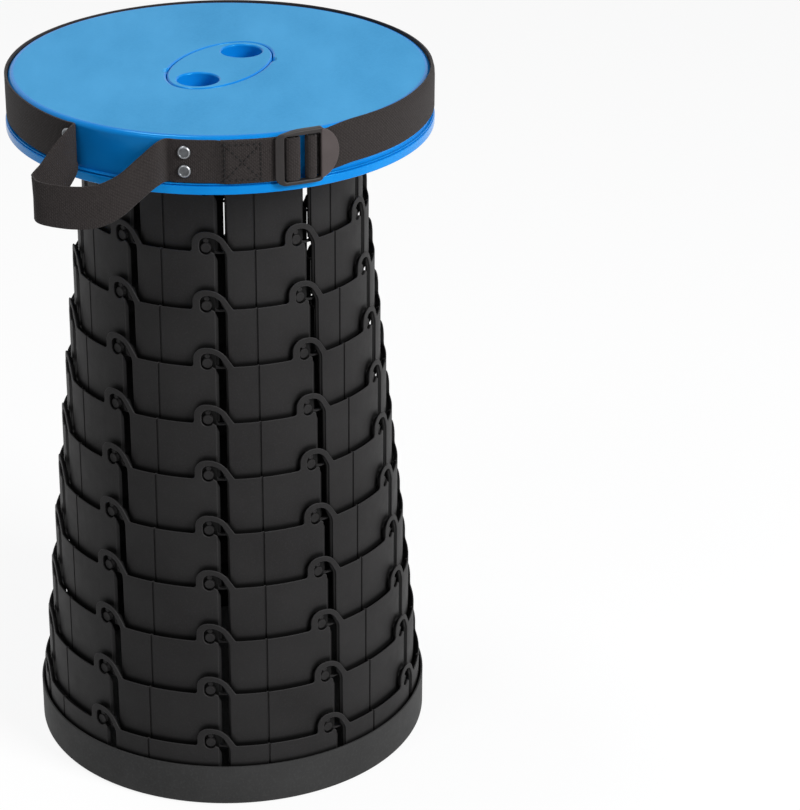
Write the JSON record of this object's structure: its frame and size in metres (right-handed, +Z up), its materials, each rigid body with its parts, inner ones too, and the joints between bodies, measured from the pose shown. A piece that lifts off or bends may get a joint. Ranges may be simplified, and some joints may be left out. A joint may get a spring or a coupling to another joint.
{
  "type": "collapsible telescopic stool",
  "caption": "Round stool seat on nested rings that slide down into a shallow round base pan, with a webbing strap, ladder buckle and carrying loop round the rim.",
  "frame": {"origin": "on the floor, in the middle of the underside of the base pan", "axes": "+Z up along the axis of the nested rings, -Y towards the front, where the carrying loop and the buckle are"},
  "size_m": [0.2512, 0.2676, 0.4348],
  "materials": {
    "base_plastic": "matt charcoal moulded plastic",
    "ring_plastic": "fine-grained black moulded plastic",
    "seat_plastic": "satin blue moulded plastic",
    "webbing": "woven black webbing",
    "buckle_plastic": "satin black moulded plastic",
    "rivet_steel": "dull nickel-plated steel"
  },
  "bodies": {
    "base": {"base_pan": "base_plastic", "foot_ring": "ring_plastic"},
    "ring_01": {"sliding_ring_01": "ring_plastic"},
    "ring_02": {"sliding_ring_02": "ring_plastic"},
    "ring_03": {"sliding_ring_03": "ring_plastic"},
    "ring_04": {"sliding_ring_04": "ring_plastic"},
    "ring_05": {"sliding_ring_05": "ring_plastic"},
    "ring_06": {"sliding_ring_06": "ring_plastic"},
    "ring_07": {"sliding_ring_07": "ring_plastic"},
    "ring_08": {"sliding_ring_08": "ring_plastic"},
    "ring_09": {"sliding_ring_09": "ring_plastic"},
    "ring_10": {"sliding_ring_10": "ring_plastic"},
    "seat": {"seat": "seat_plastic", "top_ring": "ring_plastic", "rim_strap": "webbing", "handle_loop": "webbing", "buckle": "buckle_plastic", "rivet_left_upper": "rivet_steel", "rivet_left_lower": "rivet_steel", "rivet_right_upper": "rivet_steel", "rivet_right_lower": "rivet_steel"},
    "plug": {"seat_plug": "seat_plastic"}
  },
  "joints": [
    {"name": "ring_01_slide", "type": "slide", "parent": "base", "child": "ring_01", "axis": [0, 0, -1], "range_m": [0, 0.0344]},
    {"name": "ring_02_slide", "type": "slide", "parent": "ring_01", "child": "ring_02", "axis": [0, 0, -1], "range_m": [0, 0.0344]},
    {"name": "ring_03_slide", "type": "slide", "parent": "ring_02", "child": "ring_03", "axis": [0, 0, -1], "range_m": [0, 0.0344]},
    {"name": "ring_04_slide", "type": "slide", "parent": "ring_03", "child": "ring_04", "axis": [0, 0, -1], "range_m": [0, 0.0344]},
    {"name": "ring_05_slide", "type": "slide", "parent": "ring_04", "child": "ring_05", "axis": [0, 0, -1], "range_m": [0, 0.0344]},
    {"name": "ring_06_slide", "type": "slide", "parent": "ring_05", "child": "ring_06", "axis": [0, 0, -1], "range_m": [0, 0.0344]},
    {"name": "ring_07_slide", "type": "slide", "parent": "ring_06", "child": "ring_07", "axis": [0, 0, -1], "range_m": [0, 0.0344]},
    {"name": "ring_08_slide", "type": "slide", "parent": "ring_07", "child": "ring_08", "axis": [0, 0, -1], "range_m": [0, 0.0344]},
    {"name": "ring_09_slide", "type": "slide", "parent": "ring_08", "child": "ring_09", "axis": [0, 0, -1], "range_m": [0, 0.0344]},
    {"name": "ring_10_slide", "type": "slide", "parent": "ring_09", "child": "ring_10", "axis": [0, 0, -1], "range_m": [0, 0.0344]},
    {"name": "seat_slide", "type": "slide", "parent": "ring_10", "child": "seat", "axis": [0, 0, -1], "range_m": [0, 0.0319]},
    {"name": "plug_lift", "type": "slide", "parent": "seat", "child": "plug", "axis": [0, 0, 1], "range_m": [0, 0.04]}
  ]
}
